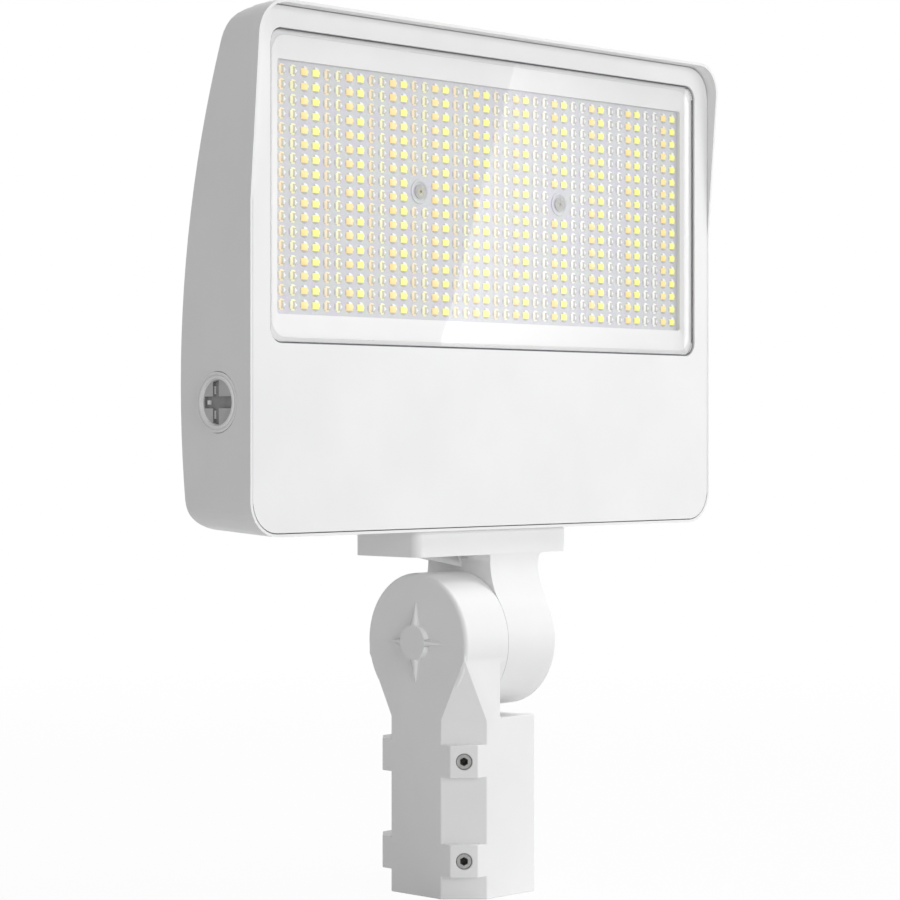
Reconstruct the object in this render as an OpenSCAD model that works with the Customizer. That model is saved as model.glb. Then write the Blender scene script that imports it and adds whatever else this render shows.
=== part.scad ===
// Flood light on a slipfitter knuckle.
// The light faces -Y, its width runs along X and Z is up.
// The origin is the centre of the mouth of the socket that takes the pole tenon.
// The knuckle turns about an axis along X, and the right hand side is +X.

/* [Head] */
// Width of the head across its front rim
head_w = 398.4; // [394:0.1:420]
// Height of the head
head_h = 296; // [294:0.5:320]
// Height of the head's lower edge above the mouth of the socket
head_z = 218.2; // [214:0.1:226]
// How far the front of the head stands ahead of the knuckle axis
front_reach = 31.1; // [30:0.1:34]
// Radius of the head's corners, seen from the front
corner_r = 20; // [17:0.5:24]
// Casting draft of the head's sides, in degrees
draft = 3.3; // [0:0.1:4]
// Radius of the curved back
back_r = 508; // [480:1:560]
// Distance from the knuckle axis to the back at its deepest
back_reach = 32; // [30:0.5:36]
// Height of the deepest place of the back above the head's lower edge
back_peak = 84.8; // [70:0.1:100]
// Radius of the back's upper and lower edges
back_edge_r = 13; // [8:0.5:16]
// Wall of the casting
wall = 3.2; // [2.5:0.1:4]
// Wall of the rim round the cover
rim_t = 1.6; // [1.2:0.1:2]
// How far the visor stands ahead of the cover at the top
visor_reach = 8.8; // [4:0.1:14]
// Height of the visor, from where it starts to the top of the head
visor_h = 111.2; // [80:0.1:150]

/* [Cover and glass] */
// Gap between the rim and the cover
cover_gap = 0.6; // [0.4:0.1:1]
// Thickness of the cover's panel
cover_t = 3; // [2.5:0.1:3.4]
// Depth of the cover at its skirt and at the ledge of the glass
cover_deep = 5.3; // [5.1:0.1:5.4]
// Width of the skirt round the cover
skirt_w = 9.4; // [8.5:0.1:10]
// Distance from the side of the head to the lens opening
lens_side = 14.8; // [14.2:0.1:17]
// Height of the head below the lens opening
panel_h = 107.3; // [104:0.1:118]
// Distance from the top of the head to the lens opening
lens_drop = 14.2; // [13.5:0.1:18]
// Radius of the corners of the lens opening
lens_r = 8.5; // [7:0.5:12]
// Width of the gasket round the glass
glass_seal = 0.9; // [0.6:0.1:1.5]
// How far the glass lies behind the cover's face
glass_in = 1; // [0.6:0.1:1.2]
// Thickness of the glass
glass_t = 3; // [2.5:0.1:3]
// Width of the ledge behind the glass
ledge_w = 3.2; // [2.5:0.1:3.6]
// Radius of the corners of the ledge
ledge_r = 10; // [9:0.5:12]
// Width and height of the cord seal between the cover and the housing
seal_w = 3.2; // [2.5:0.1:3.4]
seal_h = 2.2; // [1.8:0.1:2.4]

/* [Light engine] */
// Width of the trim at the sides, from the lens opening to the window
slope_w = 9.4; // [8.5:0.1:12]
// Width of the trim at the top and the bottom
slope_h = 16.45; // [15:0.05:18]
// Columns of lamps
led_cols = 40; // [20:2:40]
// Rows of lamps
led_rows = 17; // [9:2:17]
// Distance from the window's sides to the outer columns of lamps
led_side = 5.116; // [5:0.001:12]
// Distance from the window's top and bottom to the outer rows of lamps
led_end = 5.392; // [5:0.001:12]
// Width of a lamp package
led_w = 3; // [2:0.1:3.5]
// Height of a lamp package
led_t = 0.7; // [0.4:0.1:0.8]
// Gap between the domes of neighbouring rows on the optic plate
dome_gap = 1.576; // [1.2:0.001:3]
// Height of a dome of the optic plate
dome_h = 1.6; // [1:0.1:2]
// Thickness of the optic plate
optic_t = 1.1; // [0.9:0.1:1.2]
// Thickness of the lamp board
board_t = 1.6; // [1.2:0.1:2]
// Thickness of the housing's floor behind the lamp board
floor_t = 4; // [3:0.5:5]
// Thickness of a cooling fin
fin_t = 2.2; // [1.6:0.1:3]
// Distance between cooling fins
fin_pitch = 12.2; // [10:0.1:12.3]
// Gaps between cooling fins
fin_gaps = 31; // [15:2:31]

/* [Supply] */
// Width of the head that the driver leaves free, both sides together
driver_side = 166.4; // [160:0.1:200]
// Room above and below the driver, halved
driver_room = 15.3; // [14.5:0.1:20]
// How far the driver stands left of the middle
driver_off = 20; // [12:1:22]
// Thickness of the driver
driver_t = 33; // [25:1:34]
// Side and thickness of the surge protector
surge_w = 38; // [30:1:40]
surge_t = 20; // [15:1:30]
// Length of the terminal block
terminal_l = 44; // [30:1:46]

/* [Side plug] */
// Height of the plug above the head's lower edge
plug_rise = 74.6; // [60:0.1:80]
// Distance from the knuckle axis plane to the plug, forward
plug_y = 2; // [0:0.1:5]
// Radius of the plug's flange
plug_r = 16.9; // [15:0.1:18]
// Radius of the plug's recessed cup
cup_r = 13; // [11:0.1:13.2]
// Depth of the cup
cup_depth = 4.2; // [3:0.1:5]
// Width of the cross channels in the cup
cross_w = 6.8; // [5:0.1:8]

/* [Upper arm] */
// Width of the arm's flange plate
plate_w = 132; // [126:1:140]
// Depth of the arm's flange plate
plate_d = 53; // [51:0.5:55]
// Thickness of the arm's flange plate
plate_t = 15.2; // [14:0.1:16]
// Radius of the plate's corners
plate_r = 5.4; // [3:0.1:8]
// Depth of the neck at its narrowest
neck_d = 52.2; // [48:0.1:54]
// Radius of the neck's hollow flanks
flare_r = 40; // [36:1:44]
// Depth of the rib under the plate's left half, at the neck
rib_h = 8.4; // [4:0.1:9]
// Length of that rib
rib_l = 43; // [30:1:50]
// Thickness of that rib
rib_t = 4; // [3:0.1:6]
// Radius of the shank of the screws that hold the plate
arm_screw_r = 3; // [2.5:0.1:3.5]

/* [Knuckle] */
// Height of the knuckle axis above the mouth of the socket
axis_z = 151; // [150:0.5:154]
// Radius of the knuckle discs
disc_r = 41.3; // [40.5:0.1:41.8]
// Place of the joint between the two discs
joint_x = -3.2; // [-6:0.1:-2]
// Width of the right disc
right_disc_w = 42.9; // [40:0.1:46]
// Radius of the discs' outer edges
disc_edge_r = 2.5; // [1:0.1:4]
// Radius of the clamp bolt
bolt_r = 6; // [5:0.1:6.5]
// Radius of the boss on the left disc
boss_r = 10.2; // [9:0.1:12]
// Height of that boss
boss_h = 3.3; // [2:0.1:4]
// Reach of the four gussets round the boss
gusset_reach = 24; // [20:0.5:28]

/* [Socket] */
// Width of the socket across its flats
socket_w = 80; // [78:0.5:84]
// Side of the corner cut
corner_cut = 19.25; // [17:0.25:20]
// Side of the corner cut at the set screw bosses
boss_cut = 11.5; // [9:0.25:12]
// Height of the socket's right shoulder
shoulder_z = 106.5; // [105:0.1:107]
// Width of the web that carries the left disc
web_w = 30.6; // [28:0.1:34]
// Radius of the bore for the pole tenon
bore_r = 31; // [30.5:0.1:31.5]
// Depth of the bore
bore_depth = 88; // [84:1:90]
// Height of the lower set screws above the mouth
screw_low = 23.3; // [20:0.1:26]
// Distance between the lower and the upper set screws
screw_span = 58.7; // [50:0.1:59]
// Height of a set screw boss
screw_boss_h = 19.5; // [16:0.1:22]
// Radius of a set screw
screw_r = 4.76; // [4:0.01:4.9]
// Length of a set screw
screw_l = 16.5; // [15:0.1:17]

/* [Clearances] */
// Gap between the two knuckle discs, and between other pieces that move past each other
joint_gap = 0.3; // [0.2:0.05:0.5]
// Radial gap of a screw or bolt in its own thread
thread_gap = 0.06; // [0.03:0.01:0.1]
// Gap round a piece that lies in a pocket
fit_gap = 0.2; // [0.1:0.05:0.3]
// Gap between the cover and the housing, which the seal fills
seal_gap = 0.6; // [0.4:0.1:0.7]

/* [Hidden] */
$fn = 64;
eps = 0.01;

head_top = head_z + head_h;
head_mid = head_z + head_h / 2;
front_y = -front_reach;
back_y = back_reach - back_r;
back_z = head_z + back_peak;
lens_w = head_w - 2 * lens_side;
lens_h = head_h - panel_h - lens_drop;
lens_z = head_z + panel_h + lens_h / 2;
past = 100; // longer than a cut has to reach
glass_y = front_y + glass_in;
ledge_y = glass_y + glass_t;
cover_y = front_y + cover_deep;
seat_y = cover_y + seal_gap;
cover_inset = rim_t + cover_gap;
throat_inset = cover_inset + skirt_w;
throat_r = 24;
seal_inset = throat_inset - 3;

window_w = lens_w - 2 * slope_w;
window_h = lens_h - 2 * slope_h;
led_dx = (window_w - 2 * led_side) / (led_cols - 1);
led_dz = (window_h - 2 * led_end) / (led_rows - 1);
dome_r = (led_dz - dome_gap) / 2;

trim_y = cover_y + fit_gap;
trim_edge = 1.1;
trim_step = 2;
optic_y = trim_y + 1.3 + trim_edge;
optic_back_y = optic_y + optic_t;
board_y = optic_back_y + 0.9;
floor_y = board_y + board_t;
fin_y = floor_y + floor_t;
board_border = 3;
board_foot = 9.5;
board_w = window_w + 2 * board_border;
trim_wall = 4.2;
trim_r = 12;
divider_z = lens_z - lens_h / 2 + 2.5;
divider_t = 3;
screw_x = 7 * led_dx;
screw_rise = led_dz / 2;
connector_w = 8;
connector_h = 5;
connector_t = 1.6;
connector_z = lens_z - window_h / 2 - board_foot + 0.5;
lead_x = -2 / 7 * window_w;
lead_pitch = 4;

cover_screw_x = head_w / 2 - throat_inset - 0.3;
cover_screw_z = head_h / 2 - throat_inset - 0.3;
cover_screw_r = 2;
cover_boss_r = 6.6;
cover_screw_floor = front_y + 17.3;

supply_y = 16;
driver_l = head_w - driver_side;
driver_h = divider_z - head_z - wall - 2 * driver_room;
driver_x = -driver_off;
driver_z = (divider_z + head_z + wall) / 2 + 2.5;
driver_front_y = supply_y - driver_t;
driver_ear = 12;
surge_x = head_w / 2 - 57.2;
terminal_z = divider_z - 19.8;
surge_z = terminal_z - 42;
terminal_h = 16;
terminal_t = 14;

plug_z = head_z + plug_rise;
plug_boss_r = 19;
plug_thread_r = 14.2;
plug_face_x = -head_w / 2 + 3.6;
plug_boss_x = plug_face_x + 12;
plug_end_x = plug_boss_x - 4;
switch_d = 15;

plate_z = head_z - plate_t;
wire_x = joint_x + right_disc_w / 2;
wire_r = 8;
arm_screw_x = plate_w / 2 - 12;
arm_screw_y = plate_d / 2 - 9.5;
neck_half = neck_d / 2;
flare_y = neck_half + flare_r;
flare_z = axis_z + sqrt(pow(disc_r + flare_r, 2) - pow(flare_y, 2));
tangent_y = flare_y * disc_r / (disc_r + flare_r);

left_x = -socket_w / 2;
right_disc_x = joint_x + right_disc_w;
hub_r = 13;
way_r = 28;
bolt_sink = 8;
washer_t = 2.4;
spring_t = 2.3;
bolt_head_h = 7.5;
screw_face = (socket_w - boss_cut) / sqrt(2);
screw_tip = bore_r + 0.4;
dish_r = 220;
dish_depth = 3.2;

// Flat shapes
module rounded(w, h, r) {
  square([w - 2 * r, h], center = true);
  square([w, h - 2 * r], center = true);
  for (x = [-1, 1], y = [-1, 1]) translate([x * (w / 2 - r), y * (h / 2 - r)]) circle(r = r);
}

module octagon(w, cut) {
  h = w / 2;
  polygon([[-h, cut - h], [cut - h, -h], [h - cut, -h], [h, cut - h],
           [h, h - cut], [h - cut, h], [cut - h, h], [-h, h - cut]]);
}

// Prisms: a front view shape between two depths, and a side view shape between two widths
module deep(y0, y1) translate([0, y1, 0]) rotate([90, 0, 0]) linear_extrude(y1 - y0) children();

module wide(x0, x1) translate([x0, 0, 0]) rotate([90, 0, 90]) linear_extrude(x1 - x0) children();

// The head's outline, drawn in by an inset
module head_outline(inset, r) translate([0, head_mid]) rounded(head_w - 2 * inset, head_h - 2 * inset,
                                                                is_undef(r) ? corner_r - inset : r);

// The band of the cord seal, whose wide corners pass inside the cover screws
module seal_band(w) {
  difference() {
    head_outline(seal_inset - w / 2, throat_r + w / 2);
    head_outline(seal_inset + w / 2, throat_r - w / 2);
  }
}

module lens_outline(inset) translate([0, lens_z]) rounded(lens_w - 2 * inset, lens_h - 2 * inset,
                                                           max(1, lens_r - inset));

module ledge_outline(inset) translate([0, lens_z])
  rounded(lens_w - 2 * (ledge_w + inset), lens_h - 2 * (ledge_w + inset), ledge_r);

module led_grid() {
  for (c = [0:led_cols - 1], r = [0:led_rows - 1]) {
    x = (c - (led_cols - 1) / 2) * led_dx;
    z = ((led_rows - 1) / 2 - r) * led_dz;
    near_screw = abs(abs(x) - screw_x) < led_dx && abs(z - screw_rise) < led_dz;
    if (!near_screw) translate([x, lens_z + z]) children();
  }
}

// Side profile of the head: the curved back with rounded upper and lower edges. The rounding stands a
// step proud of touching the back's arc, so that the two cross cleanly instead of only touching
module back_corner(edge_z, side, r, arc_r) {
  cz = edge_z - side * r;
  blend_step = 0.03;
  cy = back_y + sqrt(pow(arc_r - r, 2) - pow(cz - back_z, 2)) + blend_step;
  touch_z = back_z + (cz - back_z) * arc_r / (arc_r - r);
  low = side > 0 ? touch_z : edge_z - 20;
  difference() {
    translate([cy, low]) square([80, side > 0 ? 40 : touch_z - edge_z + 20]);
    translate([cy, cz]) circle(r = r);
  }
}

module side_profile(inset) {
  arc_r = back_r - inset;
  slope = (back_reach + front_reach) * tan(draft);
  difference() {
    intersection() {
      translate([front_y, head_z]) square([past, head_h]);
      translate([back_y, back_z]) circle(r = arc_r, $fn = 256);
    }
    back_corner(head_top - slope - inset, 1, back_edge_r - inset, arc_r);
    back_corner(head_z + slope * 0.7 + inset, -1, back_edge_r - inset, arc_r);
  }
}

module head_block(inset) {
  run = back_reach + front_reach;
  back_inset = inset + run * tan(draft);
  intersection() {
    hull() {
      deep(front_y, front_y + eps) translate([0, head_mid])
        rounded(head_w - 2 * inset, head_h - 2 * inset, corner_r - inset, $fn = 32);
      deep(back_reach - eps, back_reach) translate([0, head_mid])
        rounded(head_w - 2 * back_inset, head_h - 2 * back_inset, corner_r - back_inset, $fn = 32);
    }
    wide(-head_w, head_w) side_profile(inset);
  }
}

module visor() {
  tip_y = front_y - visor_reach;
  start_z = head_top - visor_h;
  intersection() {
    deep(tip_y, front_y + 1) difference() {
      head_outline(0);
      head_outline(rim_t);
    }
    wide(-head_w, head_w) polygon([[front_y, start_z - 10], [front_y, start_z], [tip_y, head_top],
                                   [tip_y, head_top + 1], [front_y + 1, head_top + 1],
                                   [front_y + 1, start_z - 10]]);
  }
}

module at_cover_screws() {
  for (x = [-1, 1], z = [-1, 1])
    translate([x * cover_screw_x, 0, head_mid + z * cover_screw_z]) rotate([-90, 0, 0]) children();
}

module at_driver_screws() {
  for (x = [-1, 1], z = [-1, 1])
    translate([driver_x + x * (driver_l + driver_ear) / 2, supply_y, driver_z + z * driver_h * 0.34])
      rotate([-90, 0, 0]) children();
}

module at_arm_screws() {
  for (x = [-1, 1], y = [-1, 1]) translate([x * arm_screw_x, y * arm_screw_y, 0]) children();
}

module housing_bosses() {
  at_cover_screws() translate([0, 0, seat_y]) cylinder(r = cover_boss_r, h = past);
  at_driver_screws() cylinder(r = 5, h = past);
  translate([0, -plug_y, plug_z]) rotate([0, 90, 0]) translate([0, 0, -head_w / 2])
    cylinder(r = plug_boss_r, h = plug_boss_x + head_w / 2);
  translate([surge_x - surge_w / 2 + 3, supply_y, surge_z - surge_w / 2 + 3])
    cube([surge_w - 6, past, surge_w - 6]);
  translate([surge_x - terminal_l / 2 + 2, supply_y, terminal_z - 6]) cube([terminal_l - 4, past, terminal_h - 4]);
  for (x = [-1, 1]) translate([x * screw_x, floor_y, lens_z + screw_rise]) rotate([-90, 0, 0])
    cylinder(r = 4, h = 8);
  at_arm_screws() translate([0, 0, head_z + 1]) cylinder(r = 7, h = 15);
}

module housing() color("whitesmoke") {
  difference() {
    union() {
      difference() {
        head_block(0);
        deep(front_y - 1, seat_y) head_outline(rim_t);
        deep(seat_y - 1, floor_y) intersection() {
          head_outline(throat_inset, throat_r);
          translate([-head_w, divider_z]) square([2 * head_w, head_h]);
        }
        deep(seat_y - 1, seat_y + 5) intersection() {
          head_outline(throat_inset, throat_r);
          translate([-head_w, 0]) square([2 * head_w, divider_z]);
        }
        intersection() {
          head_block(wall);
          translate([-head_w, seat_y + 4.4, 0]) cube([2 * head_w, past, divider_z]);
        }
        for (i = [0:fin_gaps - 1])
          translate([(i - (fin_gaps - 1) / 2) * fin_pitch - (fin_pitch - fin_t) / 2, fin_y,
                     divider_z + divider_t])
            cube([fin_pitch - fin_t, past, head_top - 8 - divider_z - divider_t]);
      }
      visor();
      intersection() {
        translate([0, 0, head_z]) linear_extrude(wall + 1) rounded(plate_w + 4, plate_d + 3, plate_r + 1);
        translate([-plate_w, seat_y, head_z]) cube([2 * plate_w, past, wall + 1]);
      }
      intersection() {
        head_block(0);
        housing_bosses();
      }
    }
    deep(seat_y - 1, seat_y + seal_h - seal_gap) seal_band(seal_w + 2 * thread_gap);
    at_cover_screws() {
      translate([0, 0, front_y]) cylinder(r = cover_screw_r + 0.3, h = 40);
      translate([0, 0, cover_screw_floor]) cylinder(r = 3.8, h = past);
    }
    at_driver_screws() translate([0, 0, -1]) cylinder(r = 2 + thread_gap, h = 8);
    translate([-head_w / 2, -plug_y, plug_z]) rotate([0, 90, 0]) {
      translate([0, 0, -5]) cylinder(r = plug_thread_r + thread_gap, h = 40);
      translate([0, 0, -5]) cylinder(r = plug_r + 0.35, h = 5 + plug_face_x + head_w / 2);
    }
    for (x = [-1, 1]) translate([x * screw_x, floor_y - 1, lens_z + screw_rise]) rotate([-90, 0, 0])
      cylinder(r = 1.5 + thread_gap, h = 7.5);
    at_arm_screws() translate([0, 0, head_z - 1]) cylinder(r = arm_screw_r + thread_gap, h = 14.5);
    translate([wire_x, 0, head_z - 1]) cylinder(r = wire_r, h = wall + 4);
  }
}

module front_cover() color("white") {
  difference() {
    union() {
      deep(front_y, front_y + cover_t) head_outline(cover_inset);
      deep(front_y, cover_y) difference() {
        head_outline(cover_inset);
        head_outline(throat_inset, throat_r);
      }
      deep(front_y + 1, cover_y) lens_outline(-4.5);
      for (x = [-2:2]) translate([x * 60 - 1, front_y + 1, head_z + cover_inset + 4])
        cube([2, cover_deep - 1, divider_z - head_z - cover_inset - 8]);
      at_cover_screws() translate([0, 0, front_y + 1]) cylinder(r = 5.5, h = cover_deep - 1);
    }
    deep(front_y - 1, ledge_y) lens_outline(0);
    deep(front_y, cover_y + 1) ledge_outline(0);
    at_cover_screws() translate([0, 0, front_y + 1.5]) cylinder(r = cover_screw_r + thread_gap, h = 8);
  }
}

module cover_seal() color("dimgray") {
  deep(cover_y, cover_y + seal_h) seal_band(seal_w);
}

// A pan head screw along Z, its head above z = 0 and its shank below
module pan_screw(r, length, head_r, head_h) {
  difference() {
    union() {
      translate([0, 0, -length]) cylinder(r = r, h = length + 0.5);
      cylinder(r1 = head_r, r2 = head_r * 0.86, h = head_h);
    }
    for (a = [0, 90]) rotate(a) translate([-head_r * 0.55, -0.45, head_h - 1.2])
      cube([head_r * 1.1, 0.9, 3]);
  }
}

module cover_screws() color("silver") {
  at_cover_screws() translate([0, 0, cover_screw_floor]) pan_screw(cover_screw_r, 15.4, 3.5, 2.6);
}

module lens_glass() color("lightcyan", 0.3) {
  deep(glass_y, ledge_y) lens_outline(glass_seal);
}

module lens_seal() color("dimgray") {
  deep(glass_y + 0.5, ledge_y) difference() {
    lens_outline(0);
    lens_outline(glass_seal);
  }
}

// The opening of the trim slopes from the ledge of the glass down to the window
module trim_frame() color("white") {
  pocket_w = board_w + 2 * fit_gap;
  pocket_top = lens_z + window_h / 2 + board_border + fit_gap;
  pocket_low = lens_z - window_h / 2 - board_foot - fit_gap;
  difference() {
    deep(trim_y, floor_y) translate([0, lens_z]) rounded(board_w + 2 * trim_wall, lens_h - 1, trim_r);
    hull() {
      deep(trim_y - 1, trim_y) ledge_outline(0.4, $fn = 32);
      deep(optic_y - trim_edge, optic_y - trim_edge + eps) translate([0, lens_z])
        rounded(window_w, window_h, trim_step, $fn = 32);
    }
    deep(trim_y, optic_y + 1) translate([0, lens_z]) rounded(window_w, window_h, trim_step);
    deep(optic_y, floor_y + 1) translate([-pocket_w / 2, pocket_low])
      square([pocket_w, pocket_top - pocket_low]);
    translate([lead_x - connector_w / 2 - 2, optic_y, pocket_low - 12]) cube([connector_w + 4, 10, 13]);
  }
}

module optic_plate() color("lightcyan", 0.6) {
  w = board_w - 0.5;
  h = window_h + 2 * board_border - 0.5;
  deep(optic_y, optic_back_y) translate([0, lens_z]) difference() {
    rounded(w, h, trim_step);
    for (x = [-1, 1]) translate([x * screw_x, screw_rise]) circle(r = 4);
  }
  deep(optic_back_y - eps, board_y) translate([0, lens_z]) difference() {
    rounded(w, h, trim_step);
    square([w - 4, h - 4], center = true);
  }
  deep(optic_y - dome_h, optic_y) led_grid() circle(r = dome_r, $fn = 24);
}

module led_board() color("lightyellow") {
  low = lens_z - window_h / 2 - board_foot;
  top = lens_z + window_h / 2 + board_border;
  difference() {
    deep(board_y, floor_y) translate([-board_w / 2, low]) square([board_w, top - low]);
    for (x = [-1, 1]) translate([x * screw_x, floor_y - 5, lens_z + screw_rise]) rotate([-90, 0, 0])
      cylinder(r = 1.8, h = 10);
  }
  deep(board_y - led_t, board_y) led_grid() square(led_w, center = true);
}

module board_screws() color("silver") {
  for (x = [-1, 1]) translate([x * screw_x, board_y, lens_z + screw_rise]) rotate([90, 0, 0])
    pan_screw(1.5, 7.8, 3, 1.9);
}

module board_connector() color("ivory") {
  translate([lead_x - connector_w / 2, board_y - connector_t, connector_z])
    cube([connector_w, connector_t, connector_h]);
}

// Two leads, from the connector over the floor's edge and back down to the driver
module led_leads() color("firebrick") {
  r = 0.75;
  y0 = board_y - connector_t / 2;
  y1 = driver_front_y + 8;
  z1 = divider_z - 4;
  z2 = driver_z + driver_h / 2;
  for (side = [-1, 1]) translate([lead_x + side * lead_pitch / 2, 0, 0]) {
    translate([0, y0, z1]) cylinder(r = r, h = connector_z - z1);
    translate([0, y0, z1]) sphere(r = r);
    translate([0, y0, z1]) rotate([-90, 0, 0]) cylinder(r = r, h = y1 - y0);
    translate([0, y1, z1]) sphere(r = r);
    translate([0, y1, z2]) cylinder(r = r, h = z1 - z2);
  }
}

module driver() color("gainsboro") {
  translate([driver_x - driver_l / 2, driver_front_y, driver_z - driver_h / 2])
    cube([driver_l, driver_t, driver_h]);
}

module driver_caps() color("darkgray") {
  for (side = [-1, 1]) translate([driver_x + side * driver_l / 2, 0, driver_z]) mirror([side < 0 ? 1 : 0, 0, 0]) {
    difference() {
      translate([0, supply_y - 2.5, -driver_h / 2]) cube([driver_ear, 2.5, driver_h]);
      for (z = [-1, 1]) translate([driver_ear / 2, supply_y - 5, z * driver_h * 0.34])
        rotate([-90, 0, 0]) cylinder(r = 2.3, h = 8);
    }
    translate([0, driver_front_y, -driver_h / 2]) cube([1.6, driver_t, driver_h]);
  }
}

module driver_screws() color("silver") {
  at_driver_screws() mirror([0, 0, 1]) translate([0, 0, 2.5]) pan_screw(2, 8, 3.6, 2.4);
}

module surge_protector() color("darkslategray") {
  translate([surge_x - surge_w / 2, supply_y - surge_t, surge_z - surge_w / 2])
    cube([surge_w, surge_t, surge_w]);
}

module terminal_block() color("ivory") {
  difference() {
    translate([surge_x - terminal_l / 2, supply_y - terminal_t, terminal_z - terminal_h / 2])
      cube([terminal_l, terminal_t, terminal_h]);
    for (i = [-1:1]) translate([surge_x + i * terminal_l * 0.3, supply_y - terminal_t, terminal_z]) {
      rotate([90, 0, 0]) translate([0, 0, -6]) cylinder(r = 2.2, h = 10);
      translate([0, 7, -20]) cylinder(r = 2.4, h = 20);
    }
  }
}

module side_plug() color("whitesmoke") {
  seal_t = 1;
  flange_x = plug_face_x - seal_t;
  flange_t = 1.9;
  translate([0, -plug_y, plug_z]) rotate([0, 90, 0]) difference() {
    union() {
      translate([0, 0, flange_x - flange_t]) cylinder(r = plug_r, h = flange_t);
      translate([0, 0, flange_x - flange_t - 0.6]) cylinder(r = plug_r - 2.3, h = 1);
      translate([0, 0, flange_x - eps]) cylinder(r = plug_thread_r, h = plug_end_x - flange_x + eps);
    }
    difference() {
      translate([0, 0, flange_x - flange_t - 2]) cylinder(r = cup_r, h = 2 + cup_depth);
      for (a = [0:90:270]) rotate(a)
        translate([cross_w / 2, cross_w / 2, flange_x - flange_t + 0.8]) cube([20, 20, 20]);
    }
  }
}

module plug_seal() color("dimgray") {
  translate([plug_face_x - 1, -plug_y, plug_z]) rotate([0, 90, 0]) difference() {
    cylinder(r = plug_r - 0.4, h = 1);
    translate([0, 0, -1]) cylinder(r = plug_thread_r + 0.1, h = 3);
  }
}

// The slide switch behind the plug, and its knob, which reaches into the port
module selector_switch() color("ivory") {
  translate([plug_boss_x, -plug_y, plug_z]) difference() {
    translate([0, -12, -17]) cube([switch_d, 24, 34]);
    translate([-1, -1.6, -7]) cube([3, 3.2, 14]);
    translate([1.5, -4, -9]) cube([3.5, 8, 18]);
  }
}

module selector_slider() color("black") {
  translate([plug_boss_x, -plug_y, plug_z]) {
    translate([-2.5, joint_gap - 1.6, -2]) cube([4.6, 3.2 - 2 * joint_gap, 4]);
    translate([1.5 + joint_gap, joint_gap - 4, -4]) cube([3.5 - 2 * joint_gap, 8 - 2 * joint_gap, 8]);
  }
}

module arm_seal() color("dimgray") {
  translate([wire_x, 0, head_z - 1.5]) difference() {
    cylinder(r = wire_r + 7.9, h = 1.5);
    translate([0, 0, -1]) cylinder(r = wire_r + 2.1, h = 4);
  }
}

module arm_screws() color("silver") {
  at_arm_screws() translate([0, 0, plate_z + 7]) difference() {
    union() {
      translate([0, 0, -6]) cylinder(r = 5, h = 6);
      translate([0, 0, -eps]) cylinder(r = arm_screw_r, h = plate_t + 4.5);
    }
    translate([0, 0, -7]) cylinder(r = 2.9, h = 4, $fn = 6);
  }
}

// A knuckle disc along X with a rounded outer edge, which lies at the far end
module disc(x0, length) {
  translate([x0, 0, axis_z]) rotate([0, 90, 0]) rotate_extrude() {
    square([disc_r - disc_edge_r, length]);
    square([disc_r, length - disc_edge_r]);
    translate([disc_r - disc_edge_r, length - disc_edge_r]) circle(r = disc_edge_r);
  }
}

module axis_hole(r, x0, x1) {
  translate([x0, 0, axis_z]) rotate([0, 90, 0]) cylinder(r = r, h = x1 - x0);
}

module wire_ring(x0, x1) {
  difference() {
    axis_hole(way_r, x0, x1);
    axis_hole(hub_r, x0 - 1, x1 + 1);
  }
}

module neck_profile() {
  difference() {
    translate([-tangent_y, axis_z]) square([2 * tangent_y, plate_z - axis_z + 1]);
    for (side = [-1, 1]) translate([side * flare_y, flare_z]) circle(r = flare_r);
  }
}

module knuckle_arm() color("whitesmoke") {
  x0 = joint_x + joint_gap / 2;
  fillet = 4;
  difference() {
    union() {
      translate([0, 0, plate_z]) linear_extrude(plate_t) rounded(plate_w, plate_d, plate_r);
      disc(x0, right_disc_x - x0);
      wide(x0, right_disc_x) neck_profile();
      translate([0, rib_t / 2, 0]) rotate([90, 0, 0]) linear_extrude(rib_t)
        polygon([[x0 - rib_l, plate_z + 1], [x0 - rib_l, plate_z], [x0 + 1, plate_z - rib_h],
                 [x0 + 1, plate_z + 1]]);
      difference() {
        translate([x0 - fillet, -neck_half, plate_z - fillet])
          cube([right_disc_x - x0 + 2 * fillet, neck_d, fillet + 1]);
        for (x = [x0 - fillet, right_disc_x + fillet])
          translate([x, neck_half + 1, plate_z - fillet]) rotate([90, 0, 0])
            cylinder(r = fillet, h = neck_d + 2);
      }
    }
    wire_ring(x0 - 1, wire_x + wire_r);
    translate([wire_x, 0, axis_z + hub_r + 1]) cylinder(r = wire_r, h = head_z - axis_z);
    axis_hole(bolt_r + thread_gap, x0 - 1, right_disc_x + 1);
    axis_hole(13.6, right_disc_x - bolt_sink, right_disc_x + 1);
    at_arm_screws() {
      translate([0, 0, plate_z - 1]) cylinder(r = 5.4, h = 8);
      translate([0, 0, plate_z - 1]) cylinder(r = arm_screw_r + 0.3, h = plate_t + 2);
    }
    translate([wire_x, 0, head_z - 1.5]) cylinder(r = wire_r + 8, h = 3);
    translate([-46, -19, plate_z + 5]) cube([40, 38, plate_t]);
  }
}

module gussets() {
  reach = gusset_reach;
  intersection() {
    for (a = [0, 90]) rotate(a) linear_extrude(boss_h)
      polygon([[-reach, 0], [0, -3.4], [reach, 0], [0, 3.4]]);
    cylinder(r1 = reach + 1, r2 = boss_r - 1, h = boss_h);
  }
}

module screw_corner(z0, z1) {
  h = socket_w / 2;
  translate([0, 0, z0]) linear_extrude(z1 - z0)
    polygon([[-h, corner_cut - h], [-h, 0], [0, 0], [0, -h], [corner_cut - h, -h], [boss_cut - h, -h],
             [-h, boss_cut - h]]);
}

module at_set_screws() {
  for (z = [screw_low, screw_low + screw_span]) {
    set_screw_place(-1, z) children();
    set_screw_place(1, z) children();
  }
}

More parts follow.
